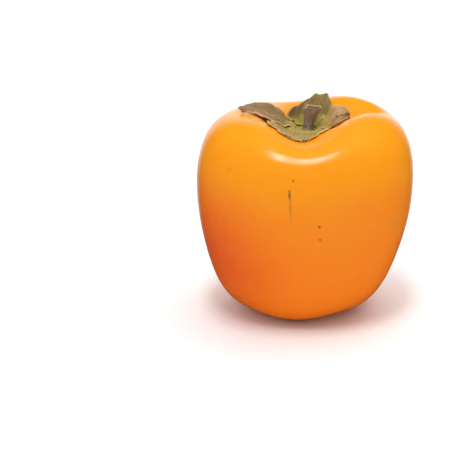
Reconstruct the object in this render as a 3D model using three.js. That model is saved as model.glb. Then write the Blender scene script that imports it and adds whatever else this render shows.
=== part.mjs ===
// A whole persimmon with its dried calyx and a stub of stem, resting on its blossom end.
// Millimetres, +Z up along the fruit's axis, origin on the resting plane under the fruit.
import * as THREE from 'three';

// ---- Driving dimensions ----

// Half outline of the fruit before its lobes are pressed in, [radius, height], base to hollow.
// Where it dips below zero it is cut flat: that is the ring on which the fruit rests.
const OUTLINE = [
  [0, 1.6], [3.5, 0.8], [6.5, -0.25], [11, -0.25], [16.5, 0.9],
  [22.3, 2.9], [28.2, 9.5], [32.6, 19], [36.2, 31],
  [38, 43], [37.6, 54], [34.3, 63], [27.2, 68.8],
  [17, 71], [11, 67.8], [6.5, 63.6], [0, 61.9],
];
const WIDEST_STEP = 9;           // the outline point where the fruit is widest
const SIDES = 68;                // facets around the fruit
const ROWS = 40;                 // facets from the base to the hollow

// Four grooves run down from the calyx and part four shoulders. Each is a channel of its own
// width, deepest at its radius, and fading over its fade outwards and inwards.
const GROOVES = [
  { azimuth: 14, depth: 5.6, width: 7.5, radius: 17, fade: 10 },
  { azimuth: 97, depth: 4.8, width: 10, radius: 15, fade: 11 },
  { azimuth: 182, depth: 1.8, width: 7, radius: 14, fade: 9 },
  { azimuth: 270, depth: 6.4, width: 13.5, radius: 20, fade: 14 },
];
const GROOVE_SIDES = 0.4;        // a groove only runs outwards: cosine of its widest turn
// The shoulders between them stand at slightly different heights.
const SHOULDERS = [
  { azimuth: 50, rise: 0.8 },
  { azimuth: 135, rise: -1.7 },
  { azimuth: 338, rise: 0.9 },
];
const SHOULDER_SPREAD = 38;
const SHOULDER_RADIUS = 22;
const SHOULDER_FADE = 12;
const SHOULDER_HEIGHTS = [44, 66];      // grooves and shoulders grow between these heights
// Down the sides the grooves are faint, and they turn on the way to the base.
const FLANK_SPREAD = 27;
const FLANK_GROOVE = 0.5;
const FLANK_GROWS = [3, 40];
const FLANK_FADES = [60, 70];
const FLANK_RADII = [14, 24];
const TWIST = 38;
const TWIST_HEIGHTS = [4, 50];
// Under the fruit they part four low feet, outside the flat ring.
const BASE_GROOVE = 1.3;
const BASE_GROOVE_RADIUS = 19;
const BASE_GROOVE_SPREAD = 8;
const BASE_GROOVE_FADES = [8, 20];
const RESTING_RADII = [11.5, 15.5];
const SQUARENESS = 0.02;
const SQUARE_HEIGHTS = [5, 30];
const LEAN = 0.03;               // sideways shift for each millimetre of height
const LEAN_PIVOT = 46;

// Calyx
const CALYX_HEIGHT = 64;
const FIT_GAP = 0.3;             // clear space between neighbouring pieces
const DISC_RADIUS = 8.6;
const DISC_THICKNESS = 1.3;
const DISC_RISE = 0.9;           // how much higher the disc's rim stands than its middle
const LOBE_THICKNESS = 0.9;
const LOBE_OPENING = 0.35;       // share of its length over which a lobe reaches its full width
const LOBE_ROUNDNESS = 0.6;
const LOBE_TIP_HALF_WIDTH = 0.5;
const LOBE_CURVE = 1.6;          // how late along its length a lobe starts to rise
const LOBE_WAVE_SLANT = 1.3;
const LOBES = [
  {
    name: 'calyx_lobe_left', azimuth: 179, length: 14, baseWidth: 4.2, width: 6.6, taper: 1.6,
    rise: 0.4, sideTilt: 0.28, ruffle: 0.4, waves: 2.2, color: 0x7d6548,
  },
  {
    name: 'calyx_lobe_back', azimuth: 72, length: 5.6, baseWidth: 5.2, width: 6.8, taper: 5,
    rise: 4.4, sideTilt: 0, ruffle: 0.6, waves: 3, color: 0x7c7440,
  },
  {
    name: 'calyx_lobe_right', azimuth: -12, length: 6.6, baseWidth: 4.2, width: 6.2, taper: 3.4,
    rise: 0.2, sideTilt: 0.5, ruffle: 1, waves: 3.4, color: 0x9d8a5b,
  },
  {
    name: 'calyx_lobe_front', azimuth: 263, length: 10.8, baseWidth: 6.8, width: 10.6, taper: 2.4,
    rise: 0.2, sideTilt: 0, ruffle: 0.3, waves: 4, color: 0x8d8547,
  },
];
const LOBE_STEPS_LONG = 12;
const LOBE_STEPS_WIDE = 10;

// Stem stub
const STEM_BOTTOM_RADIUS = 1.9;
const STEM_TOP_RADIUS = 2.6;
const STEM_HEIGHT = 8.6;
const STEM_RIDGES = 5;
const STEM_RIDGE_HEIGHT = 0.18;
const STEM_LEAN = 0.24;          // sideways shift for each millimetre of height
const STEM_OFFSET = { x: 0.9, y: 0.6 };

// Dried remnant of the style, in the dimple of the base
const STYLE_RADIUS = 0.7;
const STYLE_LENGTH = 0.75;

// ---- The fruit's skin as a rule ----

const outline = new THREE.SplineCurve(OUTLINE.map(([r, z]) => new THREE.Vector2(r, z)));
const toRadians = THREE.MathUtils.degToRad;
const toDegrees = THREE.MathUtils.radToDeg;
const ease = (value, [start, end]) => THREE.MathUtils.smoothstep(value, start, end);
const bell = (distance, spread) => Math.exp(-((distance / spread) ** 2));

function angleBetween(a, b) {
  const turn = THREE.MathUtils.euclideanModulo(a - b, 360);
  return turn > 180 ? turn - 360 : turn;
}

// How deep a groove is at one point of the plain round fruit.
function grooveDepth(groove, radius, azimuth) {
  const turn = toRadians(azimuth - groove.azimuth);
  const ahead = ease(Math.cos(turn), [0, GROOVE_SIDES]);
  const across = bell(radius * Math.sin(turn), groove.width);
  return groove.depth * ahead * across * bell(radius - groove.radius, groove.fade);
}

// Presses the lobes into one point of the plain round fruit.
function lobed(radius, height, azimuth) {
  const z0 = Math.max(height, 0);
  const turned = azimuth - TWIST * (1 - ease(z0, TWIST_HEIGHTS));
  let drop = 0;
  let groove = 0;
  for (const g of GROOVES) {
    drop += grooveDepth(g, radius, azimuth);
    groove += bell(angleBetween(turned, g.azimuth), FLANK_SPREAD);
  }
  let lift = 0;
  for (const { azimuth: line, rise } of SHOULDERS) {
    lift += rise * bell(angleBetween(azimuth, line), SHOULDER_SPREAD);
  }
  lift *= bell(radius - SHOULDER_RADIUS, SHOULDER_FADE);
  const upper = ease(z0, SHOULDER_HEIGHTS);
  const foot = ease(radius, RESTING_RADII) * (1 - ease(z0, BASE_GROOVE_FADES));
  const under = foot * bell(radius - BASE_GROOVE_RADIUS, BASE_GROOVE_SPREAD);
  const z = z0 + (lift - drop) * upper + BASE_GROOVE * groove * under;
  const flank = ease(z0, FLANK_GROWS) * (1 - ease(z0, FLANK_FADES)) * ease(radius, FLANK_RADII);
  const square = SQUARENESS * Math.cos(toRadians(4 * azimuth)) * ease(z0, SQUARE_HEIGHTS);
  const r = (radius - FLANK_GROOVE * groove * flank) * (1 - square);
  const shift = LEAN * (z - LEAN_PIVOT);
  return new THREE.Vector3(r * Math.cos(toRadians(azimuth)) + shift, r * Math.sin(toRadians(azimuth)), z);
}

function makeFruit() {
  const geometry = new THREE.LatheGeometry(outline.getPoints(ROWS), SIDES);
  geometry.rotateX(Math.PI / 2);
  const position = geometry.attributes.position;
  for (let i = 0; i < position.count; i += 1) {
    const x = position.getX(i);
    const y = position.getY(i);
    const point = lobed(Math.hypot(x, y), position.getZ(i), toDegrees(Math.atan2(y, x)));
    position.setXYZ(i, point.x, point.y, point.z);
  }
  return geometry;
}

// Height of the fruit's upper skin above a point of the plan. The lean depends on the height,
// so the search runs over the outline again once the height is nearly known.
const LEAN_PASSES = 3;
const HALVINGS = 30;

function skinHeight(x, y) {
  let z = CALYX_HEIGHT;
  for (let pass = 0; pass < LEAN_PASSES; pass += 1) {
    const px = x - LEAN * (z - LEAN_PIVOT);
    const wanted = Math.hypot(px, y);
    const azimuth = toDegrees(Math.atan2(y, px));
    let outer = WIDEST_STEP / (OUTLINE.length - 1);
    let inner = 1;
    for (let step = 0; step < HALVINGS; step += 1) {
      const middle = (outer + inner) / 2;
      const plain = outline.getPoint(middle);
      const point = lobed(plain.x, plain.y, azimuth);
      const reach = Math.hypot(point.x - LEAN * (point.z - LEAN_PIVOT), point.y);
      if (reach > wanted) outer = middle;
      else inner = middle;
      z = point.z;
    }
  }
  return z;
}

// ---- Calyx, stem and style ----

const discCenter = { x: LEAN * (CALYX_HEIGHT - LEAN_PIVOT), y: 0 };
const DISC_BED = skinHeight(discCenter.x, discCenter.y);
const DISC_EDGE_RADIUS = DISC_RADIUS - 0.3;

// The disc is a shallow dish that lies in the hollow.
function makeDisc() {
  const half = DISC_THICKNESS / 2;
  const profile = [[0, -half], [DISC_RADIUS / 2, -half], [DISC_EDGE_RADIUS, -half], [DISC_RADIUS, 0],
    [DISC_EDGE_RADIUS, half], [DISC_RADIUS / 2, half], [0, half]];
  const geometry = new THREE.LatheGeometry(profile.map(([r, z]) => new THREE.Vector2(r, z)), 40);
  geometry.rotateX(Math.PI / 2);
  const position = geometry.attributes.position;
  for (let i = 0; i < position.count; i += 1) {
    const x = position.getX(i) + discCenter.x;
    const y = position.getY(i) + discCenter.y;
    position.setXYZ(i, x, y, position.getZ(i) + half + discFloor(x, y));
  }
  return geometry;
}

// Underside of the disc: clear of the skin, and never steeper than a shallow dish.
function discFloor(x, y) {
  const reach = Math.hypot(x - discCenter.x, y - discCenter.y) / DISC_RADIUS;
  return Math.max(skinHeight(x, y), DISC_BED + DISC_RISE * reach ** 2) + FIT_GAP;
}

function lobeHalfWidth(lobe, along) {
  const opened = lobe.baseWidth + (lobe.width - lobe.baseWidth) * ease(along, [0, LOBE_OPENING]);
  return opened * (1 - along ** lobe.taper) ** LOBE_ROUNDNESS + LOBE_TIP_HALF_WIDTH;
}

// How far a lobe lifts off the skin, from its root (along 0) to its tip (along 1).
function lobeLift(lobe, along, across) {
  const wave = 0.5 + 0.5 * Math.sin(Math.PI * (lobe.waves * along + LOBE_WAVE_SLANT * across));
  const backSide = Math.max(0, across * Math.sign(Math.cos(toRadians(lobe.azimuth))));
  const tilt = lobe.sideTilt * lobe.width * backSide;
  return FIT_GAP + lobe.rise * along ** LOBE_CURVE + (lobe.ruffle * wave + tilt) * ease(along, [0, 0.5]);
}

function makeLobe(lobe) {
  const geometry = new THREE.BoxGeometry(1, 2, 1, LOBE_STEPS_LONG, LOBE_STEPS_WIDE, 1);
  const position = geometry.attributes.position;
  for (let i = 0; i < position.count; i += 1) {
    const along = position.getX(i) + 0.5;
    const across = position.getY(i);
    const level = position.getZ(i) + 0.5;
    const reach = DISC_RADIUS + FIT_GAP + lobe.length * along;
    const swing = (across * lobeHalfWidth(lobe, along)) / reach;
    const angle = toRadians(lobe.azimuth) + swing;
    const x = discCenter.x + reach * Math.cos(angle);
    const y = discCenter.y + reach * Math.sin(angle);
    const floor = skinHeight(x, y) + lobeLift(lobe, along, across);
    position.setXYZ(i, x, y, floor + LOBE_THICKNESS * level);
  }
  return geometry;
}

function makeStem() {
  const geometry = new THREE.CylinderGeometry(STEM_TOP_RADIUS, STEM_BOTTOM_RADIUS, STEM_HEIGHT, 30, 5);
  geometry.rotateX(Math.PI / 2);
  const bottom = DISC_BED + DISC_THICKNESS + 3 * FIT_GAP;
  const position = geometry.attributes.position;
  for (let i = 0; i < position.count; i += 1) {
    const x = position.getX(i);
    const y = position.getY(i);
    const up = position.getZ(i) + STEM_HEIGHT / 2;
    const radius = Math.hypot(x, y);
    const wave = radius > 0 ? Math.cos(STEM_RIDGES * Math.atan2(y, x)) : 0;
    const ridge = 1 + (STEM_RIDGE_HEIGHT / STEM_TOP_RADIUS) * wave;
    position.setXYZ(i, x * ridge + STEM_OFFSET.x + STEM_LEAN * up, y * ridge + STEM_OFFSET.y, bottom + up);
  }
  return geometry;
}

function makeStyle() {
  const geometry = new THREE.ConeGeometry(STYLE_RADIUS, STYLE_LENGTH, 14, 2);
  geometry.rotateX(-Math.PI / 2);
  const dimple = Math.max(OUTLINE[0][1], 0);
  geometry.translate(LEAN * (dimple - LEAN_PIVOT), 0, dimple - FIT_GAP - STYLE_LENGTH / 2);
  return geometry;
}

// ---- Assembly ----

function piece(name, geometry, color, roughness) {
  const material = new THREE.MeshStandardMaterial({ color, roughness, metalness: 0 });
  const mesh = new THREE.Mesh(geometry, material);
  mesh.name = name;
  return mesh;
}

const persimmon = new THREE.Group();
persimmon.add(piece('fruit', makeFruit(), 0xf7941d, 0.3));
persimmon.add(piece('calyx_disc', makeDisc(), 0x8f9440, 0.75));
for (const lobe of LOBES) persimmon.add(piece(lobe.name, makeLobe(lobe), lobe.color, 0.8));
persimmon.add(piece('stem_stub', makeStem(), 0x6f5a52, 0.85));
persimmon.add(piece('style_remnant', makeStyle(), 0x2e2018, 0.8));

export default persimmon;
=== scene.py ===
"""A whole persimmon: a waxy four-shouldered fruit with a dried calyx and a stub of stem."""
import math

import bpy
import numpy as np
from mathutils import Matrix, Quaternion, Vector, noise
from mathutils.bvhtree import BVHTree


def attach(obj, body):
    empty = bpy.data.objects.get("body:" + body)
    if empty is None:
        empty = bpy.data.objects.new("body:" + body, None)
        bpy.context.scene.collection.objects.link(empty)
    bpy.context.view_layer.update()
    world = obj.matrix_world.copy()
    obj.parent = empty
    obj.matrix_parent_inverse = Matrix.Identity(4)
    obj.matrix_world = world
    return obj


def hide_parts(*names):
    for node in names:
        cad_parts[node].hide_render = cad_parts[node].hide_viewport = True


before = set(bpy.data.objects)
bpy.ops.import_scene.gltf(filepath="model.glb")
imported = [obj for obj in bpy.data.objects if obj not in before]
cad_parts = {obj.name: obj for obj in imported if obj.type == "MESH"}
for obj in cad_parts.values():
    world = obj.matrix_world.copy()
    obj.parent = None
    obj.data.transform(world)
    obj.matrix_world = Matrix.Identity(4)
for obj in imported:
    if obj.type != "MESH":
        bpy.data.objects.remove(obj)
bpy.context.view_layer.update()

MM = 0.001  # shapes are worked out in millimetres, and their meshes are in metres

# ---- Driving dimensions, in millimetres and degrees ----

# Half outline of the fruit before its shoulders are pressed in: radius and height.
OUTLINE = [
    (0, 1.6), (3.5, 0.8), (6.5, -0.25), (11, -0.25), (16.5, 0.9),
    (22.3, 2.9), (28.2, 9.5), (32.6, 19), (36.2, 31),
    (38, 43), (37.6, 54), (34.3, 63), (27.2, 68.8),
    (17, 71), (11, 67.8), (6.5, 63.6), (0, 61.9),
]
SIDES, ROWS, OUTLINE_STEPS = 288, 220, 24
GROOVES = [
    {"Azimuth": 14, "Depth": 5.6, "Width": 7.5, "Reach": 17, "Fade": 10},
    {"Azimuth": 97, "Depth": 4.8, "Width": 10, "Reach": 15, "Fade": 11},
    {"Azimuth": 182, "Depth": 1.8, "Width": 7, "Reach": 14, "Fade": 9},
    {"Azimuth": 270, "Depth": 6.4, "Width": 13.5, "Reach": 20, "Fade": 14},
]
GROOVE_SIDES = 0.4
SHOULDERS = [
    {"Azimuth": 50, "Rise": 0.8},
    {"Azimuth": 135, "Rise": -1.7},
    {"Azimuth": 338, "Rise": 0.9},
]
SHOULDER = {"Spread": 38, "Reach": 22, "Fade": 12}
TWIST = 38
LEAN, LEAN_PIVOT = 0.03, 46
BED_HEIGHT = 63.2
CALYX_X = 0.54
DISC_RADIUS = 8.6
DISH_RISE, DISC_CLEARANCE = 0.7, 0.9

# Each dried lobe is a sheet: stations from its root to its tip, each with its distance out from
# the calyx's middle, its shift to the left, its half width, and the height of its top at five
# places from its right edge to its left, looking out from the middle.
LOBES = {
    "calyx_lobe_left": {
        "azimuth": 179, "slot": "calyx_dry", "thickness": 0.5, "seed": 11,
        "ruffle": 0.3, "tear": 0.5, "roll": (1, 0.92, 0.3), "fold": (0.35, 0.16, 0.5), "veins": 9,
        "stations": [
            (3.6, -0.4, 3.4, (64.2, 64.0, 63.9, 64.0, 64.4)),
            (6.2, -2.0, 7.5, (65.0, 64.6, 64.4, 64.8, 66.3)),
            (9.0, -1.5, 7.8, (68.2, 66.3, 65.4, 66.2, 67.7)),
            (12.0, -1.0, 7.0, (70.3, 69.0, 67.9, 67.8, 68.8)),
            (15.2, -0.8, 5.6, (71.5, 71.1, 70.2, 69.4, 69.6)),
            (18.4, -0.8, 3.4, (71.8, 71.4, 70.8, 70.1, 69.8)),
            (21.2, -1.6, 1.4, (71.3, 71.1, 70.8, 70.4, 70.1)),
            (22.6, -2.2, 0.4, (71.0, 70.9, 70.8, 70.7, 70.6)),
        ],
    },
    "calyx_lobe_back": {
        "azimuth": 72, "slot": "calyx_green", "thickness": 0.45, "seed": 23,
        "ruffle": 0.2, "tear": 0.12, "roll": (1, 1.0, 0.0), "fold": (0.3, 0.1, 0.55), "veins": 11,
        "stations": [
            (3.4, 0.4, 4.2, (64.2, 63.9, 63.8, 63.9, 64.2)),
            (5.6, 0.9, 6.3, (66.0, 64.9, 64.6, 64.6, 65.0)),
            (7.4, 1.5, 7.8, (68.0, 67.3, 66.8, 66.2, 65.8)),
            (8.8, 0.8, 7.4, (70.3, 70.0, 69.6, 69.0, 68.2)),
            (9.8, -0.6, 5.7, (71.3, 72.0, 71.8, 71.2, 69.8)),
            (10.6, -1.2, 3.9, (73.2, 73.3, 73.2, 72.8, 71.7)),
            (11.1, -1.6, 3.1, (75.0, 74.1, 73.5, 73.2, 72.8)),
        ],
    },
    "calyx_lobe_right": {
        "azimuth": 2, "slot": "calyx_dry", "thickness": 0.45, "seed": 37,
        "ruffle": 0.25, "tear": 0.35, "roll": (-1, 0.9, 0.36), "fold": (-0.48, 0.13, 1.7), "veins": 8,
        "stations": [
            (3.6, 0.0, 3.2, (64.3, 63.9, 63.8, 63.9, 64.2)),
            (6.6, -0.6, 5.8, (65.2, 64.6, 64.6, 65.4, 67.0)),
            (9.6, 0.0, 6.2, (66.8, 66.4, 67.0, 68.6, 70.3)),
            (12.2, 0.0, 5.8, (68.2, 67.7, 68.2, 69.3, 70.3)),
            (13.8, -0.2, 4.9, (68.7, 68.3, 68.7, 69.5, 70.2)),
            (14.6, 0.0, 3.9, (68.9, 68.6, 69.0, 69.5, 70.0)),
        ],
    },
    "calyx_lobe_front": {
        "azimuth": 263, "slot": "calyx_green", "thickness": 0.5, "seed": 52,
        "ruffle": 0.15, "tear": 0.35, "roll": (-1, 0.94, 0.3), "fold": (0.1, 0.2, 0.2), "veins": 11,
        "stations": [
            (3.8, 0.0, 5.0, (64.3, 64.0, 63.9, 64.0, 64.3)),
            (6.8, -1.3, 8.6, (67.5, 65.0, 64.2, 64.2, 65.4)),
            (10.0, -1.5, 10.4, (68.9, 66.2, 64.4, 64.6, 66.1)),
            (13.8, -2.0, 9.3, (69.2, 67.2, 65.6, 65.4, 66.6)),
            (15.6, -2.0, 8.5, (69.0, 67.3, 65.9, 65.6, 66.4)),
            (17.2, -0.9, 6.7, (67.7, 66.5, 65.7, 65.5, 65.9)),
            (18.8, -1.2, 5.7, (67.0, 66.0, 65.4, 65.2, 65.3)),
            (20.2, -0.6, 3.9, (65.9, 65.4, 65.0, 64.9, 65.0)),
            (20.9, -0.5, 2.2, (65.3, 65.0, 64.8, 64.8, 64.9)),
        ],
    },
}
SHEET_ROWS, SHEET_COLUMNS = 120, 96
REST_GAP = 0.25
VEIN_EDGE = 0.93  # share of a lobe's half width that its veins may reach


# ---- Node building ----

def add(tree, kind, inputs=None, **settings):
    """Adds one node, sets it, and fills its inputs with values or links."""
    node = tree.nodes.new(kind)
    for name, value in settings.items():
        setattr(node, name, value)
    for key, value in (inputs or {}).items():
        if isinstance(value, bpy.types.NodeSocket):
            tree.links.new(value, node.inputs[key])
        else:
            node.inputs[key].default_value = value
    return node


def calc(tree, operation, *values):
    """One step of arithmetic on sockets or numbers."""
    return add(tree, "ShaderNodeMath", dict(enumerate(values)), operation=operation).outputs[0]


def plus(tree, first, *others):
    """The sum of sockets or numbers."""
    for other in others:
        first = calc(tree, "ADD", first, other)
    return first


def minus(tree, first, second):
    return calc(tree, "SUBTRACT", first, second)


def times(tree, first, *others):
    """The product of sockets or numbers."""
    for other in others:
        first = calc(tree, "MULTIPLY", first, other)
    return first


def scaled(tree, vector, scale):
    return add(tree, "ShaderNodeVectorMath", {0: vector, "Scale": scale}, operation="SCALE").outputs[0]


def bell(tree, distance, spread):
    """exp(-(distance / spread)^2)"""
    share = calc(tree, "DIVIDE", distance, spread)
    return calc(tree, "EXPONENT", times(tree, share, share, -1))


def ease(tree, value, start, end, low=0.0, high=1.0):
    """A smooth step from low at start to high at end."""
    inputs = {"Value": value, "From Min": start, "From Max": end, "To Min": low, "To Max": high}
    return add(tree, "ShaderNodeMapRange", inputs, interpolation_type="SMOOTHSTEP").outputs["Result"]


def new_group(name, kind, inputs, outputs):
    """An empty node group with named inputs (name, socket type, default) and outputs."""
    group = bpy.data.node_groups.new(name, kind)
    for label, socket, default in inputs:
        item = group.interface.new_socket(label, in_out="INPUT", socket_type=socket)
        if default is not None:
            item.default_value = default
    for label, socket in outputs:
        group.interface.new_socket(label, in_out="OUTPUT", socket_type=socket)
    return group, group.nodes.new("NodeGroupInput"), group.nodes.new("NodeGroupOutput")


def apply_nodes(obj, group, values):
    """Runs a Geometry Nodes group on obj, and returns a plain mesh object in its place."""
    modifier = obj.modifiers.new(group.name, "NODES")
    modifier.node_group = group
    for item in group.interface.items_tree:
        if item.item_type == "SOCKET" and item.in_out == "INPUT" and item.name in values:
            modifier[item.identifier] = values[item.name]
    evaluated = obj.evaluated_get(bpy.context.evaluated_depsgraph_get())
    mesh = bpy.data.meshes.new_from_object(evaluated)
    obj.modifiers.remove(modifier)
    obj.data = mesh
    return obj


def new_object(name, points, faces=(), edges=()):
    """A mesh object at the origin, from points in millimetres."""
    mesh = bpy.data.meshes.new(name)
    mesh.from_pydata([tuple(p) for p in np.asarray(points, float) * MM], list(edges), list(faces))
    obj = bpy.data.objects.new(name, mesh)
    bpy.context.scene.collection.objects.link(obj)
    return obj


def finish_piece(obj, slot, *nodes):
    obj.data.polygons.foreach_set("use_smooth", [True] * len(obj.data.polygons))
    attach(obj, "root")
    if nodes:
        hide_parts(*nodes)
    return obj


# ---- The fruit's body ----

def groove_group():
    """How deep one straight groove between two shoulders is at a point of the plain round fruit."""
    inputs = [("Turn", "NodeSocketFloat", 0.0), ("Radius", "NodeSocketFloat", 0.0)]
    inputs += [(name, "NodeSocketFloat", 1.0) for name in ("Azimuth", "Depth", "Width", "Reach", "Fade")]
    outputs = [("Depth", "NodeSocketFloat")]
    tree, given, result = new_group("shoulder_groove", "GeometryNodeTree", inputs, outputs)
    off = calc(tree, "RADIANS", minus(tree, given.outputs["Turn"], given.outputs["Azimuth"]))
    aside = times(tree, given.outputs["Radius"], calc(tree, "SINE", off))
    near_side = ease(tree, calc(tree, "COSINE", off), 0, GROOVE_SIDES)
    out = minus(tree, given.outputs["Radius"], given.outputs["Reach"])
    depth = times(tree, bell(tree, aside, given.outputs["Width"]), near_side,
                  bell(tree, out, given.outputs["Fade"]), given.outputs["Depth"])
    tree.links.new(depth, result.inputs["Depth"])
    return tree


def swell_group():
    """How high one shoulder swells, and how near a point is to the middle line of it."""
    inputs = [("Turn", "NodeSocketFloat", 0.0), ("Radius", "NodeSocketFloat", 0.0)]
    inputs += [(name, "NodeSocketFloat", 1.0) for name in ("Azimuth", "Rise", "Spread", "Reach", "Fade")]
    outputs = [("Rise", "NodeSocketFloat"), ("Line", "NodeSocketFloat")]
    tree, given, result = new_group("shoulder_swell", "GeometryNodeTree", inputs, outputs)
    off = minus(tree, given.outputs["Turn"], given.outputs["Azimuth"])
    line = bell(tree, calc(tree, "WRAP", off, 180, -180), given.outputs["Spread"])
    out = minus(tree, given.outputs["Radius"], given.outputs["Reach"])
    rise = times(tree, line, bell(tree, out, given.outputs["Fade"]), given.outputs["Rise"])
    tree.links.new(rise, result.inputs["Rise"])
    tree.links.new(line, result.inputs["Line"])
    return tree


def sum_rows(tree, group, turn, radius, rows, shared, output):
    """The sum of one output over the rows of grooves or shoulders."""
    total = 0.0
    for row in rows:
        inputs = {"Turn": turn, "Radius": radius, **shared, **row}
        total = plus(tree, total, add(tree, "GeometryNodeGroup", inputs, node_tree=group).outputs[output])
    return total


def fruit_group():
    """Geometry Nodes: turns the half outline round the axis, and presses the shoulders in."""
    inputs = [
        ("Outline", "NodeSocketGeometry", None), ("Sides", "NodeSocketInt", 64),
        ("Rows", "NodeSocketInt", 40), ("Flank Groove", "NodeSocketFloat", 0.5),
        ("Base Groove", "NodeSocketFloat", 1.3), ("Squareness", "NodeSocketFloat", 0.02),
        ("Dents", "NodeSocketFloat", 0.3), ("Puckers", "NodeSocketFloat", 0.1),
        ("Seed", "NodeSocketFloat", 0.0), ("Skin", "NodeSocketMaterial", None),
    ]
    tree, given, result = new_group(
        "persimmon_body", "GeometryNodeTree", inputs, [("Body", "NodeSocketGeometry")])
    curve = add(tree, "GeometryNodeMeshToCurve", {0: given.outputs["Outline"]}).outputs[0]
    curve = add(tree, "GeometryNodeCurveSplineType", {"Curve": curve}, spline_type="CATMULL_ROM").outputs[0]
    curve = add(tree, "GeometryNodeSetSplineResolution", {0: curve, "Resolution": OUTLINE_STEPS}).outputs[0]
    columns = plus(tree, given.outputs["Sides"], 1)
    grid = add(tree, "GeometryNodeMeshGrid",
               {"Size X": 1, "Size Y": 1, "Vertices X": columns, "Vertices Y": given.outputs["Rows"]})
    place = add(tree, "ShaderNodeSeparateXYZ", {0: add(tree, "GeometryNodeInputPosition").outputs[0]})
    turn = times(tree, plus(tree, place.outputs["X"], 0.5), 360)
    along = plus(tree, place.outputs["Y"], 0.5)
    sample = add(tree, "GeometryNodeSampleCurve", {"Curves": curve, "Factor": along}, mode="FACTOR")
    point = add(tree, "ShaderNodeSeparateXYZ", {0: sample.outputs["Position"]})
    radius = calc(tree, "DIVIDE", point.outputs["X"], MM)
    z = calc(tree, "MAXIMUM", calc(tree, "DIVIDE", point.outputs["Z"], MM), 0)

    groove, swell = groove_group(), swell_group()
    twisted = minus(tree, turn, ease(tree, z, 4, 50, TWIST, 0))
    drop = sum_rows(tree, groove, turn, radius, GROOVES, {}, "Depth")
    lift = sum_rows(tree, swell, turn, radius, SHOULDERS, SHOULDER, "Rise")
    lines = [{"Azimuth": row["Azimuth"], "Spread": 27} for row in GROOVES]
    line = sum_rows(tree, swell, twisted, radius, lines, {}, "Line")

    # Each ease and bell below starts and ends at a height or a radius in millimetres.
    upper = times(tree, minus(tree, lift, drop), ease(tree, z, 44, 66))
    under = times(tree, ease(tree, radius, 11.5, 15.5), ease(tree, z, 8, 20, 1, 0),
                  bell(tree, minus(tree, radius, 19), 8), line, given.outputs["Base Groove"])
    height = plus(tree, z, plus(tree, upper, under))
    flank = times(tree, ease(tree, z, 3, 40), ease(tree, z, 60, 70, 1, 0), ease(tree, radius, 14, 24),
                  line, given.outputs["Flank Groove"])
    corner = calc(tree, "COSINE", calc(tree, "RADIANS", times(tree, turn, 4)))
    corner = times(tree, corner, ease(tree, z, 5, 30), given.outputs["Squareness"])
    reach = times(tree, minus(tree, radius, flank), minus(tree, 1, corner))

    angle = calc(tree, "RADIANS", turn)
    shift = times(tree, minus(tree, height, LEAN_PIVOT), LEAN)
    x = plus(tree, times(tree, reach, calc(tree, "COSINE", angle)), shift)
    y = times(tree, reach, calc(tree, "SINE", angle))
    spot = scaled(tree, add(tree, "ShaderNodeCombineXYZ", {"X": x, "Y": y, "Z": height}).outputs[0], MM)
    body = add(tree, "GeometryNodeSetPosition", {
        "Geometry": grid.outputs["Mesh"], "Position": spot}).outputs[0]
    body = add(tree, "GeometryNodeMergeByDistance", {"Geometry": body, "Distance": 0.01 * MM}).outputs[0]

    # Broad soft dents all over, and small puckers where the skin dives under the calyx.
    position = add(tree, "GeometryNodeInputPosition").outputs[0]
    dents = add(tree, "ShaderNodeTexNoise",
                {"Vector": position, "W": given.outputs["Seed"], "Scale": 42, "Detail": 1.5},
                noise_dimensions="4D").outputs[0]
    there = add(tree, "ShaderNodeSeparateXYZ", {0: position})
    local_x = minus(tree, there.outputs["X"], CALYX_X * MM)
    around = calc(tree, "ARCTAN2", there.outputs["Y"], local_x)
    square = plus(tree, times(tree, local_x, local_x), times(tree, there.outputs["Y"], there.outputs["Y"]))
    out = calc(tree, "DIVIDE", calc(tree, "SQRT", square), MM)
    waves = calc(tree, "SINE", plus(tree, times(tree, around, 17), times(tree, dents, 14)))
    near = times(tree, bell(tree, minus(tree, out, 13), 5.5), ease(tree, there.outputs["Z"], 0.05, 0.06))
    pucker = times(tree, waves, near, given.outputs["Puckers"])
    off_floor = ease(tree, there.outputs["Z"], 0.001, 0.012)
    dent = times(tree, minus(tree, dents, 0.5), given.outputs["Dents"])
    relief = times(tree, plus(tree, times(tree, dent, off_floor), pucker), MM)
    offset = scaled(tree, add(tree, "GeometryNodeInputNormal").outputs[0], relief)
    body = add(tree, "GeometryNodeSetPosition", {"Geometry": body, "Offset": offset}).outputs[0]
    body = add(tree, "GeometryNodeRealizeInstances", {"Geometry": body}).outputs[0]
    body = add(tree, "GeometryNodeSetMaterial",
               {"Geometry": body, "Material": given.outputs["Skin"]}).outputs[0]
    tree.links.new(body, result.inputs["Body"])
    return tree


def make_fruit(skin):
    points = [(r, 0, z) for r, z in OUTLINE]
    edges = [(i, i + 1) for i in range(len(points) - 1)]
    fruit = new_object("persimmon_fruit", points, edges=edges)
    values = {"Sides": SIDES, "Rows": ROWS, "Flank Groove": 0.5, "Base Groove": 1.3,
              "Squareness": 0.02, "Dents": 0.5, "Puckers": 0.12, "Seed": 3.7, "Skin": skin}
    apply_nodes(fruit, fruit_group(), values)
    return finish_piece(fruit, "skin", "fruit")


# ---- The calyx ----

def catmull_rom(values, steps):
    """A smooth curve through the rows of values, at evenly spaced steps."""
    values = np.asarray(values, float)
    rows = np.vstack([2 * values[0] - values[1], values, 2 * values[-1] - values[-2]])
    at = np.clip(steps, 0, 1) * (len(values) - 1)
    index = np.minimum(at.astype(int), len(values) - 2)
    t = (at - index).reshape(-1, *([1] * (values.ndim - 1)))
    a, b, c, d = (rows[index + k] for k in range(4))
    bend, twist = 2 * a - 5 * b + 4 * c - d, 3 * b - a - 3 * c + d
    return 0.5 * (2 * b + (c - a) * t + bend * t ** 2 + twist * t ** 3)


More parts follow.
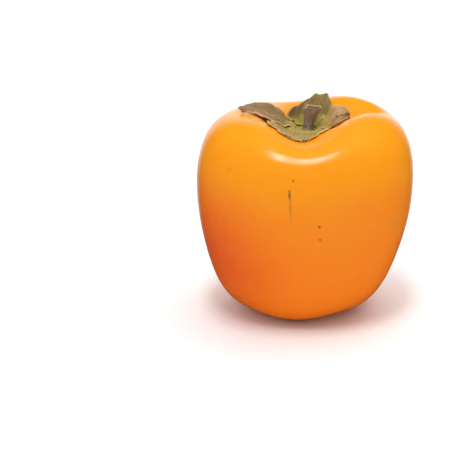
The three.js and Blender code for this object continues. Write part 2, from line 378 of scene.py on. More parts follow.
def rumple(points, scale, seed):
    """Smooth noise from -1 to 1 at points in millimetres."""
    shift = Vector((seed * 7.3, seed * 3.1, seed * 5.7))
    return np.array([noise.noise(Vector(p) * scale + shift) for p in points])


def smooth_step(value, start, end):
    share = np.clip((value - start) / (end - start), 0, 1)
    return share * share * (3 - 2 * share)


def skin_height(tree, x, y):
    """Height of the fruit's skin at a place on the plan, seen from above."""
    above, beside_fruit = 100, 40
    hit = tree.ray_cast(Vector((x, y, above)) * MM, Vector((0, 0, -1)))[0]
    return hit.z / MM if hit else beside_fruit


def disc_height(skin, out):
    """Height of the disc's top: a shallow dish that never sinks into the skin under it."""
    dish = BED_HEIGHT + DISH_RISE * (out / DISC_RADIUS) ** 2
    level, soft = 64, 0.4
    powers = math.exp((dish - level) / soft) + math.exp((skin + DISC_CLEARANCE - level) / soft)
    return soft * math.log(powers) + level


def bed_height(tree, x, y):
    """Height of what a lobe lies on: the disc in the middle, then the fruit."""
    skin = skin_height(tree, x, y)
    out = math.hypot(x - CALYX_X, y)
    share = smooth_step(out, 7.2, 10)
    return max(skin, disc_height(skin, out) * (1 - share) + skin * share)


def store(mesh, name, values):
    """Keeps one number for each point of the mesh, for its material."""
    layer = mesh.attributes.new(name, "FLOAT", "POINT")
    layer.data.foreach_set("value", np.asarray(values, float).ravel())


def grid_faces(rows, columns):
    """Quads of a grid of points, facing up when rows run outwards and columns to the left."""
    return [(i * columns + j, (i + 1) * columns + j, (i + 1) * columns + j + 1, i * columns + j + 1)
            for i in range(rows - 1) for j in range(columns - 1)]


def ring_faces(rings, sides):
    """Quads between closed rings of points, facing out when the rings run upwards."""
    steps = [(k, (k + 1) % sides) for k in range(sides)]
    return [(start + k, start + after, start + sides + after, start + sides + k)
            for start in range(0, (rings - 1) * sides, sides) for k, after in steps]


def lobe_place(spec, out, side):
    """Where a point of a lobe lies on the plan, in millimetres."""
    azimuth = math.radians(spec["azimuth"])
    return (CALYX_X + out * math.cos(azimuth) - side * math.sin(azimuth),
            out * math.sin(azimuth) + side * math.cos(azimuth))


def lobe_lifts(spec, tree):
    """How far each station's five places stand above the lobe's bed."""
    lifts = []
    for out, side, half, heights in spec["stations"]:
        places = [lobe_place(spec, out, side + share * half) for share in (-1, -0.5, 0, 0.5, 1)]
        lifts.append([max(height - spec["thickness"] - REST_GAP - bed_height(tree, *place), 0.05)
                      for place, height in zip(places, heights)])
    return lifts


def lobe_surface(spec, tree, rows, columns):
    """Points of a lobe in millimetres, from its root to its tip and from right to left."""
    along, across = (a.ravel() for a in np.meshgrid(rows, columns, indexing="ij"))
    plan = np.repeat(catmull_rom([s[:3] for s in spec["stations"]], rows), len(columns), 0)
    lift = catmull_rom(catmull_rom(lobe_lifts(spec, tree), rows).T, (columns + 1) / 2).T.ravel()
    edge, sign, seed = np.abs(across), np.sign(across), spec["seed"]
    side_tear = rumple(np.stack([along * 11, sign * 3, along * 0], 1), 1, seed)
    side_tear = side_tear + 0.5 * rumple(np.stack([along * 37, sign * 3, along * 0], 1), 1, seed + 1)
    tip_tear = rumple(np.stack([across * 3, along * 0, along * 0], 1), 1, seed + 2)
    tip_tear = tip_tear + 0.5 * rumple(np.stack([across * 9, along * 0, along * 0], 1), 1, seed + 3)
    half = np.maximum(plan[:, 2] + spec["tear"] * 1.6 * side_tear * edge ** 5, 0.1)
    out = plan[:, 0] + spec["tear"] * 2 * tip_tear * along ** 9 - 0.9 * edge ** 3 * along ** 6
    roll_sign, start, roll = spec["roll"]
    rolled = np.clip((across * roll_sign - start) / max(1 - start, 0.01), 0, 1) * math.pi * 1.15
    fade = smooth_step(along, 0.1, 0.3)
    reach = np.where(rolled > 0, start + roll / half * np.sin(rolled), edge)
    side = plan[:, 1] + sign * (reach * fade + edge * (1 - fade)) * half
    x, y = lobe_place(spec, out, side)
    flat = np.stack([x, y, np.zeros_like(x)], 1)
    loose = np.clip(along * 2.5, 0, 1)
    lift = lift + spec["ruffle"] * loose * rumple(flat, 0.33, seed) * (0.5 + edge)
    lift = lift + 0.2 * loose * rumple(flat, 1.1, seed + 1) + 0.07 * loose * rumple(flat, 2.9, seed + 4)
    lift = lift + spec["fold"][2] * loose * np.exp(-((across - spec["fold"][0]) / spec["fold"][1]) ** 2)
    lift = np.maximum(lift, 0.05) + fade * roll * (1 - np.cos(rolled))
    bed = np.array([bed_height(tree, px, py) for px, py in zip(x, y)])
    return np.stack([x, y, bed + REST_GAP + lift], 1), along, across


def thicken(obj, thickness):
    """Gives a sheet its thickness, upwards from where it lies."""
    modifier = obj.modifiers.new("thickness", "SOLIDIFY")
    modifier.thickness = thickness * MM
    modifier.offset = 1
    mesh = bpy.data.meshes.new_from_object(obj.evaluated_get(bpy.context.evaluated_depsgraph_get()))
    obj.modifiers.remove(modifier)
    obj.data = mesh


def vein_group():
    """Geometry Nodes: tapered veins that fan out over the top of a lobe, or round a disc."""
    inputs = [
        ("Sheet", "NodeSocketGeometry", None), ("Count", "NodeSocketInt", 9),
        ("Start", "NodeSocketFloat", 0.1), ("End", "NodeSocketFloat", 0.95),
        ("Root Spread", "NodeSocketFloat", 0.35), ("Spread", "NodeSocketFloat", 0.85),
        ("Rise", "NodeSocketFloat", 0.5), ("Thickness", "NodeSocketFloat", 0.12),
        ("Wander", "NodeSocketFloat", 0.12), ("Seed", "NodeSocketFloat", 0.0),
        ("Bark", "NodeSocketMaterial", None),
    ]
    tree, given, result = new_group(
        "calyx_veins", "GeometryNodeTree", inputs, [("Veins", "NodeSocketGeometry")])
    path = add(tree, "GeometryNodeCurvePrimitiveLine", {"Start": (0, 0, 0), "End": (1, 0, 0)}).outputs[0]
    path = add(tree, "GeometryNodeResampleCurve", {"Curve": path, "Count": 70}).outputs[0]
    gap = calc(tree, "DIVIDE", 2, calc(tree, "MAXIMUM", minus(tree, given.outputs["Count"], 1), 1))
    line = add(tree, "GeometryNodeMeshLine", {
        "Count": given.outputs["Count"], "Start Location": (0, -1, 0),
        "Offset": add(tree, "ShaderNodeCombineXYZ", {"Y": gap}).outputs[0]}).outputs[0]
    veins = add(tree, "GeometryNodeInstanceOnPoints", {"Points": line, "Instance": path}).outputs[0]
    veins = add(tree, "GeometryNodeRealizeInstances", {"Geometry": veins}).outputs[0]
    place = add(tree, "ShaderNodeSeparateXYZ", {0: add(tree, "GeometryNodeInputPosition").outputs[0]})
    share, lane = place.outputs["X"], place.outputs["Y"]
    along = add(tree, "ShaderNodeMapRange", {
        "Value": share, "To Min": given.outputs["Start"], "To Max": given.outputs["End"]}).outputs[0]
    fan = ease(tree, share, 0, 0.7, given.outputs["Root Spread"], given.outputs["Spread"])
    spot = add(tree, "ShaderNodeCombineXYZ", {
        "X": times(tree, share, 3), "Y": times(tree, lane, 7),
        "Z": given.outputs["Seed"]}).outputs[0]
    sway = add(tree, "ShaderNodeTexNoise", {"Vector": spot, "Scale": 1, "Detail": 2}).outputs[0]
    sway = times(tree, minus(tree, sway, 0.5), given.outputs["Wander"])
    across = plus(tree, times(tree, lane, fan), times(tree, sway, 2))
    across = calc(tree, "MINIMUM", calc(tree, "MAXIMUM", across, -VEIN_EDGE), VEIN_EDGE)
    leaf = [add(tree, "GeometryNodeInputNamedAttribute", {"Name": name}, data_type="FLOAT").outputs[0]
            for name in ("along", "across")]
    leaf_map = add(tree, "ShaderNodeCombineXYZ", {"X": leaf[0], "Y": leaf[1]}).outputs[0]
    lifted = scaled(tree, add(tree, "GeometryNodeInputNormal").outputs[0],
                    times(tree, given.outputs["Rise"], MM))
    top = add(tree, "ShaderNodeVectorMath", {
        0: add(tree, "GeometryNodeInputPosition").outputs[0], 1: lifted}, operation="ADD").outputs[0]
    at = add(tree, "ShaderNodeCombineXYZ", {"X": along, "Y": across}).outputs[0]
    sample = add(tree, "GeometryNodeSampleUVSurface", {
        "Mesh": given.outputs["Sheet"], "Value": top, "UV Map": leaf_map, "Sample UV": at},
        data_type="FLOAT_VECTOR").outputs[0]
    for name, value in (("along", along), ("across", across), ("vein", 1.0)):
        veins = add(tree, "GeometryNodeStoreNamedAttribute", {
            "Geometry": veins, "Name": name, "Value": value}, data_type="FLOAT").outputs[0]
    veins = add(tree, "GeometryNodeSetPosition", {"Geometry": veins, "Position": sample}).outputs[0]
    radius = times(tree, given.outputs["Thickness"], ease(tree, share, 0.2, 1.0, 1.0, 0.35), MM)
    ring = add(tree, "GeometryNodeCurvePrimitiveCircle", {"Resolution": 8, "Radius": 1.0}).outputs[0]
    tubes = add(tree, "GeometryNodeCurveToMesh", {
        "Curve": veins, "Profile Curve": ring, "Scale": radius, "Fill Caps": True}).outputs[0]
    body = add(tree, "GeometryNodeRealizeInstances", {"Geometry": tubes}).outputs[0]
    body = add(tree, "GeometryNodeSetMaterial", {
        "Geometry": body, "Material": given.outputs["Bark"]}).outputs[0]
    tree.links.new(body, result.inputs["Veins"])
    return tree


def make_lobe(name, spec, tree, material, vein_nodes):
    rows, columns = np.linspace(0, 1, SHEET_ROWS), np.linspace(-1, 1, SHEET_COLUMNS)
    points, along, across = lobe_surface(spec, tree, rows, columns)
    lobe = new_object(name + "_sheet", points, grid_faces(SHEET_ROWS, SHEET_COLUMNS))
    store(lobe.data, "along", along)
    store(lobe.data, "across", across)
    store(lobe.data, "rim", np.maximum(np.abs(across) ** 7, along ** 10))
    veins = bpy.data.objects.new(name + "_veins", lobe.data.copy())
    bpy.context.scene.collection.objects.link(veins)
    apply_nodes(veins, vein_nodes, {
        "Count": spec["veins"], "Rise": spec["thickness"] + 0.03, "Seed": float(spec["seed"]),
        "Bark": material})
    finish_piece(veins, spec["slot"], name)
    thicken(lobe, spec["thickness"])
    lobe.data.materials.append(material)
    return finish_piece(lobe, spec["slot"], name)


def make_disc(tree, material):
    """The fleshy green middle of the calyx: a dished disc with a low ring round the stem."""
    rings, sides = 60, 180
    points = []
    outs = np.linspace(0.02, 1, rings)
    for out in outs:
        for k in range(sides):
            turn = 2 * math.pi * k / sides
            radius = out * (DISC_RADIUS + 0.3 * math.cos(4 * turn + 0.6) + 0.1 * math.sin(11 * turn))
            x, y = CALYX_X + radius * math.cos(turn), radius * math.sin(turn)
            z = disc_height(skin_height(tree, x, y), radius) - 0.6
            z += 0.35 * math.exp(-((radius - 3.4) / 0.8) ** 2)
            z += 0.1 * math.cos(8 * turn + 1) * smooth_step(out, 0.3, 0.8)
            z += 0.22 * noise.noise(Vector((x, y, 2)) * 0.5) + 0.06 * noise.noise(Vector((x, y, 7)) * 1.8)
            points.append((x, y, z))
    faces = [(a, d, c, b) for a, b, c, d in ring_faces(rings, sides)]
    faces.append(tuple(range(sides)))
    disc = new_object("calyx_disc_flesh", points, faces)
    store(disc.data, "along", np.repeat(outs * 0.3, sides))
    store(disc.data, "across", np.tile(np.linspace(-1, 1, sides), rings))
    store(disc.data, "rim", np.repeat(outs ** 12, sides))
    thicken(disc, 0.6)
    disc.data.materials.append(material)
    return finish_piece(disc, "calyx_green", "calyx_disc")


# ---- The stem ----

STEM = {"bottom": 1.55, "top": 2.75, "foot": (0.95, -0.4, 63.1), "height": 8.3, "lean": (0.235, 0.04)}


def make_stem(material):
    """A woody stub with bark ridges, widening to a cut top with a shallow dip in it."""
    sides, rows = 120, 90
    points, along = [], []
    x0, y0, z0 = STEM["foot"]
    for i in range(rows):
        t = i / (rows - 1)
        for k in range(sides):
            turn = 2 * math.pi * k / sides
            radius = STEM["bottom"] + (STEM["top"] - STEM["bottom"]) * t ** 1.6 + 0.7 * math.exp(-t * 9)
            radius += 0.17 * math.cos(5 * turn + 2 * t) + 0.07 * math.cos(13 * turn - 3 * t)
            spot = Vector((math.cos(turn), math.sin(turn), t * 5)) * 1.7
            radius += 0.14 * noise.noise(spot) + 0.05 * noise.noise(spot * 3.7)
            height = t * STEM["height"]
            x = x0 + STEM["lean"][0] * height + radius * math.cos(turn)
            y = y0 + STEM["lean"][1] * height + radius * math.sin(turn)
            points.append((x, y, z0 + height + t ** 6 * 0.25 * math.sin(3 * turn + 1)))
            along.append(t)
    rim = np.array(points[-sides:])
    middle = rim.mean(0)
    caps, cut_dip = 14, 0.45
    for c in range(1, caps):
        share = c / caps
        for k in range(sides):
            place = rim[k] * (1 - share) + middle * share
            dip = cut_dip * math.sin(min(share * 3, 1) * math.pi / 2)
            rough = 0.1 * noise.noise(Vector(place) * 2.2)
            points.append((place[0], place[1], place[2] - dip + rough))
            along.append(1 + share)
    faces = ring_faces(rows + caps - 1, sides)
    top = (rows + caps - 2) * sides
    points.append(tuple(middle - np.array([0, 0, cut_dip])))
    along.append(2)
    faces += [(top + k, top + (k + 1) % sides, len(points) - 1) for k in range(sides)]
    faces.append(tuple(reversed(range(sides))))
    stem = new_object("stem_stub_bark", points, faces)
    store(stem.data, "along", along)
    stem.data.materials.append(material)
    return finish_piece(stem, "stem", "stem_stub")


def make_style(material):
    """The dry black point that is left of the style, in the dimple of the blossom end."""
    sides, rows = 36, 22
    points = []
    for i in range(rows):
        t = i / (rows - 1)
        for k in range(sides):
            turn = 2 * math.pi * k / sides
            spot = Vector((math.cos(turn), math.sin(turn), t * 2)) * 1.6
            radius = 0.2 + 0.42 * math.sin(math.pi * min(t * 0.62 + 0.1, 1)) + 0.08 * noise.noise(spot)
            radius *= math.sqrt(1 - (2 * max(t - 0.9, 0) / 0.2) ** 2 * 0.9)
            points.append((-1.33 + radius * math.cos(turn), radius * math.sin(turn), 0.56 + 0.72 * t))
    faces = ring_faces(rows, sides)
    faces.append(tuple(reversed(range(sides))))
    faces.append(tuple(range((rows - 1) * sides, rows * sides)))
    style = new_object("style_remnant_stub", points, faces)
    store(style.data, "along", np.repeat(np.linspace(0, 1, rows), sides))
    style.data.materials.append(material)
    return finish_piece(style, "dried_style", "style_remnant")


# ---- Finishes ----

def mottle_group():
    """Soft patches that change over a surface, from 0 to 1."""
    inputs = [("Vector", "NodeSocketVector", None), ("Scale", "NodeSocketFloat", 100.0),
              ("Detail", "NodeSocketFloat", 4.0), ("Warp", "NodeSocketFloat", 0.0),
              ("Low", "NodeSocketFloat", 0.35), ("High", "NodeSocketFloat", 0.65)]
    tree, given, result = new_group("mottle", "ShaderNodeTree", inputs, [("Mask", "NodeSocketFloat")])
    patches = add(tree, "ShaderNodeTexNoise", {
        "Vector": given.outputs["Vector"], "Scale": given.outputs["Scale"],
        "Detail": given.outputs["Detail"], "Distortion": given.outputs["Warp"]}).outputs[0]
    tree.links.new(ease(tree, patches, given.outputs["Low"], given.outputs["High"]), result.inputs["Mask"])
    return tree


def speck_group():
    """Small round specks, each of its own size, on a share of the cells."""
    inputs = [("Vector", "NodeSocketVector", None), ("Scale", "NodeSocketFloat", 400.0),
              ("Size", "NodeSocketFloat", 0.25), ("Share", "NodeSocketFloat", 0.5)]
    tree, given, result = new_group("specks", "ShaderNodeTree", inputs, [("Mask", "NodeSocketFloat")])
    cells = add(tree, "ShaderNodeTexVoronoi", {
        "Vector": given.outputs["Vector"], "Scale": given.outputs["Scale"]})
    chance = add(tree, "ShaderNodeSeparateColor", {0: cells.outputs["Color"]})
    size = times(tree, given.outputs["Size"], plus(tree, 0.5, times(tree, chance.outputs["Green"], 0.5)))
    dot = ease(tree, cells.outputs["Distance"], times(tree, size, 0.4), size, 1, 0)
    chosen = calc(tree, "LESS_THAN", chance.outputs["Red"], given.outputs["Share"])
    tree.links.new(times(tree, dot, chosen), result.inputs["Mask"])
    return tree


def mark_group():
    """One soft mark with a wandering outline, at a place and of a size in millimetres."""
    inputs = [("Vector", "NodeSocketVector", None), ("Place", "NodeSocketVector", (0, 0, 0)),
              ("Reach", "NodeSocketVector", (1, 1, 1)), ("Softness", "NodeSocketFloat", 0.5),
              ("Wander", "NodeSocketFloat", 0.3)]
    tree, given, result = new_group("skin_mark", "ShaderNodeTree", inputs, [("Mask", "NodeSocketFloat")])
    size = scaled(tree, given.outputs["Vector"], 1 / MM)
    off = add(tree, "ShaderNodeVectorMath", {0: size, 1: given.outputs["Place"]}, operation="SUBTRACT")
    share = add(tree, "ShaderNodeVectorMath", {0: off.outputs[0], 1: given.outputs["Reach"]},
                operation="DIVIDE")
    length = add(tree, "ShaderNodeVectorMath", {0: share.outputs[0]}, operation="LENGTH").outputs["Value"]
    wave = add(tree, "ShaderNodeTexNoise", {"Vector": given.outputs["Vector"], "Scale": 900}).outputs[0]
    wave = times(tree, minus(tree, wave, 0.5), given.outputs["Wander"])
    length = plus(tree, length, times(tree, wave, 4))
    inner = minus(tree, 1, given.outputs["Softness"])
    tree.links.new(ease(tree, length, inner, 1.05, 1, 0), result.inputs["Mask"])
    return tree


def fibre_group():
    """Fine fibres that run along a leaf or a stem, from 0 to 1."""
    inputs = [("Along", "NodeSocketFloat", 0.0), ("Across", "NodeSocketFloat", 0.0),
              ("Lines", "NodeSocketFloat", 12.0), ("Stretch", "NodeSocketFloat", 3.0),
              ("Seed", "NodeSocketFloat", 0.0)]
    tree, given, result = new_group("fibres", "ShaderNodeTree", inputs, [("Mask", "NodeSocketFloat")])
    place = add(tree, "ShaderNodeCombineXYZ", {
        "X": times(tree, given.outputs["Along"], given.outputs["Stretch"]),
        "Y": times(tree, given.outputs["Across"], given.outputs["Lines"]),
        "Z": given.outputs["Seed"]}).outputs[0]
    lines = add(tree, "ShaderNodeTexNoise", {"Vector": place, "Scale": 1, "Detail": 3, "Roughness": 0.6})
    mask = add(tree, "ShaderNodeMapRange", {
        "Value": lines.outputs[0], "From Min": 0.3, "From Max": 0.7}).outputs["Result"]
    tree.links.new(mask, result.inputs["Mask"])
    return tree


GROUPS = {}


def place_group(tree, name, **inputs):
    """Puts a shared group in a material, and returns its mask."""
    return add(tree, "ShaderNodeGroup", inputs, node_tree=GROUPS[name]).outputs["Mask"]


def blend(tree, base, top, mask):
    """Lays one colour over another by a mask."""
    base, top = ((*color, 1) if isinstance(color, tuple) else color for color in (base, top))
    return add(tree, "ShaderNodeMix", {0: mask, 6: base, 7: top}, data_type="RGBA").outputs[2]


def ramp(tree, value, stops):
    """A colour that follows a value through (position, colour) stops."""
    node = tree.nodes.new("ShaderNodeValToRGB")
    tree.links.new(value, node.inputs[0])
    node.color_ramp.interpolation = "EASE"
    while len(node.color_ramp.elements) < len(stops):
        node.color_ramp.elements.new(0.5)
    for element, (position, color) in zip(node.color_ramp.elements, stops):
        element.position = position
        element.color = (*color, 1)
    return node.outputs[0]


def new_material(name):
    """A material, its tree, its shader, and the place on the piece that its patterns follow."""
    material = bpy.data.materials.new(name)
    material.use_nodes = True
    tree = material.node_tree
    place = add(tree, "ShaderNodeTexCoord").outputs["Object"]
    return material, tree, tree.nodes["Principled BSDF"], place


def carried(tree, name):
    """A number that the piece's own points carry."""
    return add(tree, "ShaderNodeAttribute", attribute_name=name).outputs["Fac"]


def cover(tree, shader, color, rough, relief, strength, shine):
    """Gives a shader its colour, roughness, relief in millimetres and specular level."""
    tree.links.new(color, shader.inputs["Base Color"])
    tree.links.new(rough, shader.inputs["Roughness"])
    bump = add(tree, "ShaderNodeBump", {"Height": relief, "Distance": MM, "Strength": strength}).outputs[0]
    tree.links.new(bump, shader.inputs["Normal"])
    shader.inputs["Specular IOR Level"].default_value = shine


SKIN_MARKS = [  # place, reach, softness, wander and strength of each brown mark on the skin
    ((-4.4, -36.5, 47.4), (0.55, 3, 8.2), 0.9, 0.4, 0.42),
    ((-4.7, -36.5, 51.0), (0.6, 3, 1.9), 0.7, 0.4, 0.95),
    ((-3.5, -36.5, 55.6), (0.6, 3, 0.85), 0.8, 0.4, 0.85),
    ((4.9, -36.5, 40.2), (0.6, 3, 0.6), 0.6, 0.1, 0.95),
    ((5.2, -36.5, 35.6), (0.55, 3, 0.55), 0.6, 0.1, 0.95),
    ((-24.1, -26.5, 57.3), (0.9, 3, 0.55), 0.8, 0.3, 0.85),
    ((-15.6, -10.8, 69.1), (2.4, 0.9, 3), 0.9, 0.6, 0.5),
]


def skin_finish():
    """Waxy skin: yellow-orange shoulders, a deeper orange foot and a red-orange lower left, both partly
    painted shade, faint mottling, pores and marks.
    """
    material, tree, shader, place = new_material("persimmon_skin")
    apart = add(tree, "ShaderNodeSeparateXYZ", {0: place})
    height = calc(tree, "DIVIDE", apart.outputs["Z"], 72 * MM)
    broad = place_group(tree, "mottle", Vector=place, Scale=38.0, Detail=3.0, Warp=0.4, Low=0.3, High=0.7)
    height = plus(tree, height, times(tree, minus(tree, broad, 0.5), 0.10))
    # Redder and less yellow towards the foot: partly the skin's own tone, partly painted shade where less
    # light reaches.
    color = ramp(tree, height, [
        (0.03, (1.0, 0.230, 0.007)), (0.30, (0.98, 0.228, 0.006)), (0.55, (0.94, 0.250, 0.005)),
        (0.78, (0.92, 0.305, 0.005)), (0.97, (0.93, 0.325, 0.005))])
    # Deeper red-orange over the lower left: partly the skin's own blush, partly painted shade and painted
    # orange bounce light.
    blush_and_painted_shade = place_group(tree, "skin_mark", Vector=place, Place=(-34, -22, 24), Reach=(38, 34, 36),
                        Softness=0.95, Wander=0.05)
    color = blend(tree, color, (0.76, 0.075, 0.010), times(tree, blush_and_painted_shade, 0.85))
    fine = place_group(tree, "mottle", Vector=place, Scale=260.0, Detail=5.0, Warp=0.3, Low=0.35, High=0.7)
    color = blend(tree, color, (0.93, 0.36, 0.008), times(tree, fine, 0.08))
    pores = place_group(tree, "specks", Vector=place, Scale=620.0, Size=0.26, Share=0.5)
    color = blend(tree, color, (0.95, 0.46, 0.02), times(tree, pores, 0.08))
    green = place_group(tree, "skin_mark", Vector=place, Place=(29.5, -22, 38), Reach=(4, 5, 6),
                        Softness=0.9, Wander=0.4)
    color = blend(tree, color, (0.55, 0.33, 0.05), times(tree, green, fine, 0.5))
    scars = 0.0
    for spot, reach, softness, wander, strength in SKIN_MARKS:
        mark = place_group(tree, "skin_mark", Vector=place, Place=spot, Reach=reach,
                           Softness=softness, Wander=wander)
        scars = calc(tree, "MAXIMUM", scars, times(tree, mark, strength))
    color = blend(tree, color, (0.22, 0.075, 0.014), scars)
    rough = plus(tree, 0.2, times(tree, fine, 0.06), times(tree, scars, 0.35))
    peel = add(tree, "ShaderNodeTexNoise", {"Vector": place, "Scale": 330, "Detail": 2}).outputs[0]
    relief = minus(tree, times(tree, peel, 0.012), times(tree, pores, 0.01))
    relief = minus(tree, relief, times(tree, scars, 0.05))
    cover(tree, shader, color, rough, relief, 0.4, 0.38)
    shader.inputs["Subsurface Weight"].default_value = 0.12
    shader.inputs["Subsurface Radius"].default_value = (1.0, 0.35, 0.08)
    shader.inputs["Subsurface Scale"].default_value = 0.003
    return material


def calyx_finish(name, root, body, tip, rim, turn, side_tone_and_painted_shade, seed):
    """A dried calyx: green at the root, brown towards the tip, with a pale torn rim.

    turn says where the green root ends along the lobe; the argument after it gives the colour of one side of
    the lobe, and where across the lobe that begins and is full. On the right lobe that colour is painted
    shade in the crease below its fold; on the others it is a darker or browner side of the lobe.
    """
    material, tree, shader, place = new_material(name)
    along, across, edge, vein = (carried(tree, layer) for layer in ("along", "across", "rim", "vein"))
    patch = place_group(tree, "mottle", Vector=place, Scale=170.0, Detail=4.0, Warp=0.5, Low=0.35, High=0.68)
    fibres = place_group(tree, "fibres", Along=along, Across=across, Lines=16.0, Stretch=4.0, Seed=seed)
    hair = place_group(tree, "fibres", Along=along, Across=across, Lines=60.0, Stretch=9.0, Seed=seed + 3)
    uneven = minus(tree, patch, 0.5)
    grow = plus(tree, along, times(tree, uneven, 0.12))
    color = blend(tree, body, tip, ease(tree, grow, 0.55, 0.95))
    dark_side = plus(tree, across, times(tree, uneven, 0.4))
    # Colour of one side of the lobe: on the right lobe this is painted shade in the crease below its fold.
    color = blend(tree, color, side_tone_and_painted_shade[0], ease(tree, dark_side, side_tone_and_painted_shade[1], side_tone_and_painted_shade[2]))
    color = blend(tree, color, root, ease(tree, grow, turn[0], turn[1], 1, 0))
    furrow = tuple(0.5 * c for c in body)
    color = blend(tree, color, furrow, times(tree, ease(tree, fibres, 0.45, 0.15), 0.6))
    color = blend(tree, color, rim, times(tree, ease(tree, fibres, 0.62, 0.9), 0.45))
    color = blend(tree, color, rim, times(tree, ease(tree, hair, 0.6, 0.95), 0.3))
    specks = place_group(tree, "specks", Vector=place, Scale=900.0, Size=0.35, Share=0.3)
    color = blend(tree, color, (0.05, 0.03, 0.015), times(tree, specks, 0.5))
    worn = ease(tree, plus(tree, edge, times(tree, uneven, 0.3)), 0.45, 0.85)
    color = blend(tree, color, rim, times(tree, worn, 0.85))
    color = blend(tree, color, rim, times(tree, vein, 0.4))
    rough = plus(tree, 0.68, times(tree, patch, 0.2))
    grain = add(tree, "ShaderNodeTexNoise", {"Vector": place, "Scale": 1500, "Detail": 3}).outputs[0]
    relief = plus(tree, times(tree, fibres, 0.12), times(tree, hair, 0.05), times(tree, grain, 0.06))
    cover(tree, shader, color, rough, relief, 0.8, 0.2)
    return material


def stem_finish():
    """Weathered bark with long cracks, and a pale cut face with a dark middle."""
    material, tree, shader, place = new_material("stem_wood")
    along = carried(tree, "along")
    stretched = add(tree, "ShaderNodeMapping", {"Vector": place, "Scale": (1, 1, 0.16)}).outputs[0]
    grain = place_group(tree, "mottle", Vector=stretched, Scale=1100.0, Detail=4.0, Warp=0.2,
                        Low=0.3, High=0.7)
    patch = place_group(tree, "mottle", Vector=place, Scale=300.0, Detail=4.0, Warp=0.4, Low=0.35, High=0.65)
    color = blend(tree, (0.20, 0.125, 0.085), (0.36, 0.25, 0.175), grain)
    color = blend(tree, color, (0.27, 0.19, 0.16), times(tree, patch, 0.6))
    specks = place_group(tree, "specks", Vector=place, Scale=1000.0, Size=0.3, Share=0.3)
    color = blend(tree, color, (0.55, 0.42, 0.28), times(tree, specks, 0.5))
    lip = times(tree, ease(tree, along, 0.965, 0.995), ease(tree, along, 1.06, 1.14, 1, 0))
    face = ease(tree, along, 1.1, 1.35)
    cut = blend(tree, (0.17, 0.09, 0.05), (0.10, 0.05, 0.03), patch)
    color = blend(tree, color, cut, face)
    color = blend(tree, color, (0.52, 0.40, 0.25), times(tree, lip, 0.8))
    cover(tree, shader, color, plus(tree, 0.7, times(tree, patch, 0.2)), times(tree, grain, 0.15), 0.8, 0.2)
    return material


def style_finish():
    """Charred-looking dry tissue, browner where it joins the fruit."""
    material, tree, shader, place = new_material("dried_style_tissue")
    along = carried(tree, "along")
    patch = place_group(tree, "mottle", Vector=place, Scale=1500.0, Detail=4.0, Warp=0.4, Low=0.35, High=0.65)
    color = blend(tree, (0.02, 0.012, 0.008), (0.07, 0.04, 0.02), patch)
    color = blend(tree, color, (0.16, 0.08, 0.03), times(tree, ease(tree, along, 0.6, 1.0), 0.6))
    cover(tree, shader, color, plus(tree, 0.7, times(tree, patch, 0.2)), times(tree, patch, 0.06), 0.8, 0.5)
    return material


# ---- Camera, floor and lights ----

CAMERA_HEIGHT_ANGLE = 17
CAMERA_DISTANCE = 0.56
LOOK_AT_HEIGHT = 0.036
BESIDE_MIDDLE = (0.0270, 0.0067)  # the fruit stands this far right of the view's middle, and above it
VIEW_WIDTH = 0.1562               # width of the view at the fruit, metres


def make_camera():
    tilt = math.radians(CAMERA_HEIGHT_ANGLE)
    centre = Vector((0, 0, LOOK_AT_HEIGHT))
    back = Vector((0, -math.cos(tilt), math.sin(tilt)))
    up = Vector((0, math.sin(tilt), math.cos(tilt)))
    data = bpy.data.cameras.new("studio_camera")
    camera = bpy.data.objects.new("studio_camera", data)
    bpy.context.scene.collection.objects.link(camera)
    data.sensor_width = 36
    data.lens = data.sensor_width * CAMERA_DISTANCE / VIEW_WIDTH
    data.clip_start, data.clip_end = 0.05, 20
    camera.location = centre + back * CAMERA_DISTANCE
    target = centre - Vector((BESIDE_MIDDLE[0], 0, 0)) - up * BESIDE_MIDDLE[1]
    aim = (target - camera.location).to_track_quat("-Z", "Y")
    yaw = math.atan(BESIDE_MIDDLE[0] / CAMERA_DISTANCE)
    roll = Quaternion((0, 0, 1), -math.atan(math.tan(yaw) * math.sin(tilt)))
    camera.rotation_mode = "QUATERNION"
    camera.rotation_quaternion = aim @ roll
    bpy.context.scene.camera = camera


def make_floor():
    half = 4000
    corners = [(-half, -half, 0), (half, -half, 0), (half, half, 0), (-half, half, 0)]
    floor = new_object("studio_floor", corners, [(0, 1, 2, 3)])
    material = bpy.data.materials.new("pale_floor")
    material.use_nodes = True
    shader = material.node_tree.nodes["Principled BSDF"]
    shader.inputs["Base Color"].default_value = (0.93, 0.93, 0.93, 1)
    shader.inputs["Roughness"].default_value = 0.5
    shader.inputs["Specular IOR Level"].default_value = 0.3
    floor.data.materials.append(material)
    floor.visible_glossy = False


def soft_light(name, direction, distance, width, depth, radiance):
    """A rectangular soft box that shines on the fruit from (azimuth, elevation)."""
    azimuth, elevation = (math.radians(a) for a in direction)
    way = Vector((math.sin(azimuth) * math.cos(elevation), -math.cos(azimuth) * math.cos(elevation),
                  math.sin(elevation)))
    data = bpy.data.lights.new(name, "AREA")
    data.shape = "RECTANGLE"
    data.size, data.size_y = width, depth
    data.energy = 4 * radiance * width * depth
    light = bpy.data.objects.new(name, data)
    bpy.context.scene.collection.objects.link(light)
    light.location = Vector((0, 0, LOOK_AT_HEIGHT)) + way * distance
    light.rotation_mode = "QUATERNION"
    light.rotation_quaternion = (-way).to_track_quat("-Z", "Y")
    return light


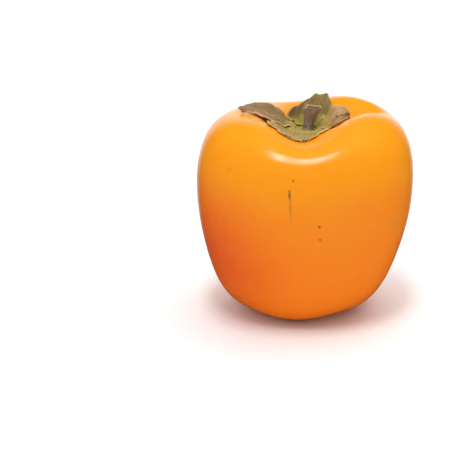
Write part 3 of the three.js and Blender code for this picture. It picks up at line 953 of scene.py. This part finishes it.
def make_light():
    soft_light("key_softbox", (-10, 71.5), 2.5, 0.44, 1.2, 13)
    panel = soft_light("overhead_panel", (150, 68), 4, 3.8, 3.8, 1.05)
    panel.visible_glossy = False
    world = bpy.data.worlds.new("white_studio")
    bpy.context.scene.world = world
    world.use_nodes = True
    tree = world.node_tree
    tree.nodes.clear()
    way = add(tree, "ShaderNodeSeparateXYZ", {0: add(tree, "ShaderNodeTexCoord").outputs["Generated"]})
    front, height = way.outputs["Y"], way.outputs["Z"]
    ambient = ease(tree, height, 0.0, 0.4, 0.55, 0.71)
    # Gloss mirrors a dark room, but for the bright far wall that shows at a glancing angle.
    above_foot = ease(tree, height, -0.42, -0.27)
    mirrored = plus(tree, times(tree, ease(tree, front, 0.84, 1.0, 0.0, 1.17), above_foot), 0.03)
    path = add(tree, "ShaderNodeLightPath")
    change = times(tree, minus(tree, mirrored, ambient), path.outputs["Is Glossy Ray"])
    strength = calc(tree, "MAXIMUM", plus(tree, ambient, change), path.outputs["Is Camera Ray"])
    sky = add(tree, "ShaderNodeBackground", {"Color": (1, 1, 1, 1), "Strength": strength})
    add(tree, "ShaderNodeOutputWorld", {"Surface": sky.outputs[0]})
    bpy.context.scene.view_settings.view_transform = "Standard"


make_camera()
make_floor()
make_light()

for build in (mottle_group, speck_group, mark_group, fibre_group):
    shared = build()
    GROUPS[shared.name] = shared

GREEN, OLIVE, DARK = (0.37, 0.31, 0.055), (0.29, 0.215, 0.062), (0.15, 0.088, 0.038)
UMBER, SAND, RIM = (0.30, 0.185, 0.105), (0.50, 0.315, 0.135), (0.66, 0.42, 0.20)
FINISHES = {
    "calyx_disc": calyx_finish("disc_flesh", GREEN, OLIVE, OLIVE, OLIVE, (0.4, 0.6), (OLIVE, 2, 3), 1.0),
    "calyx_lobe_left": calyx_finish("left_lobe_leaf", GREEN, (0.24, 0.165, 0.07), UMBER, RIM,
                                    (0.14, 0.28), (UMBER, -0.6, 0.4), 2.0),
    "calyx_lobe_back": calyx_finish("back_lobe_leaf", GREEN, OLIVE, (0.34, 0.25, 0.09), SAND,
                                    (0.30, 0.44), (DARK, 0.25, 0.65), 3.0),
    # The right lobe's dark band near its rolled edge is painted shade in the crease below its fold.
    "calyx_lobe_right": calyx_finish("right_lobe_leaf", GREEN, SAND, (0.40, 0.25, 0.12), RIM,
                                     (0.26, 0.38), (DARK, -0.58, -0.7), 4.0),
    "calyx_lobe_front": calyx_finish("front_lobe_leaf", GREEN, OLIVE, (0.42, 0.33, 0.13), (0.72, 0.46, 0.20),
                                     (0.22, 0.5), ((0.42, 0.26, 0.13), -0.5, -0.75), 5.0),
}
vein_nodes = vein_group()
fruit = make_fruit(skin_finish())
fruit_mesh = BVHTree.FromPolygons([v.co for v in fruit.data.vertices],
                                  [p.vertices for p in fruit.data.polygons])
make_disc(fruit_mesh, FINISHES["calyx_disc"])
for lobe_name, lobe_spec in LOBES.items():
    make_lobe(lobe_name, lobe_spec, fruit_mesh, FINISHES[lobe_name], vein_nodes)
make_stem(stem_finish())
make_style(style_finish())
